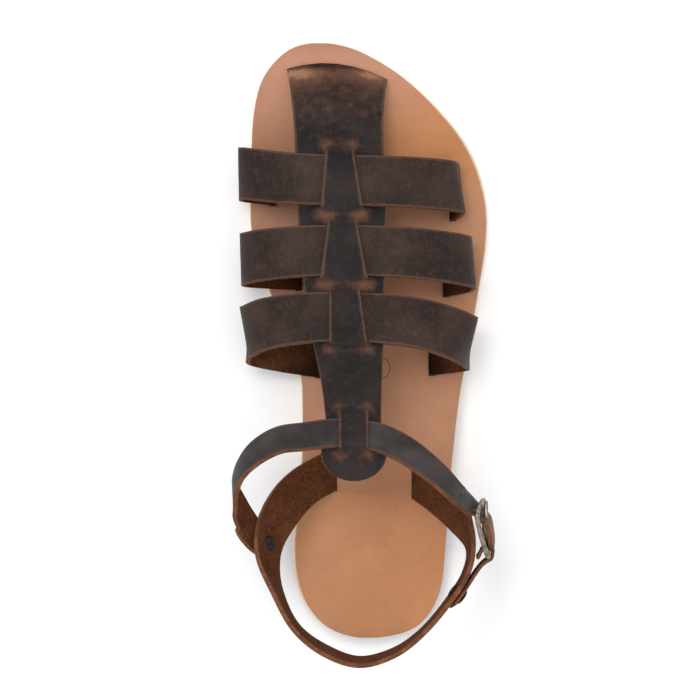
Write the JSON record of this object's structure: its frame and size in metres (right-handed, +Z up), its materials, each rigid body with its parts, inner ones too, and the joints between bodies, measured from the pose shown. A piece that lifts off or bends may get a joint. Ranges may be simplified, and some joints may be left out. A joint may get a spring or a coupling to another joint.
{
  "type": "strapped leather sandal",
  "caption": "Flat leather sandal, right foot: centre strip with woven-in cross straps, a band round the heel and a buckled ankle strap on a tan leather sole.",
  "frame": {"origin": "on the floor, under the middle of the sandal's box", "axes": "+Y to the toe, +X to the outer side of the right foot, +Z up"},
  "size_m": [0.1136, 0.2726, 0.0979],
  "materials": {
    "insole_leather": "tan vegetable-tanned leather, smooth, softly burnished",
    "sole_leather": "pale natural sole leather with a dressed edge",
    "heel_leather": "stacked heel leather, dark dressed edge",
    "strap_leather": "dark brown oiled leather, waxy grain side, brown suede flesh side",
    "aged_brass": "dull antique brass"
  },
  "bodies": {
    "root": {"insole": "insole_leather", "outsole": "sole_leather", "heel": "heel_leather", "upper": "strap_leather", "heel_strap": "strap_leather", "ankle_strap": "strap_leather", "buckle_strap": "strap_leather", "buckle_frame": "aged_brass", "buckle_prong": "aged_brass", "rivet_inner": "aged_brass", "rivet_outer": "aged_brass"}
  },
  "joints": []
}
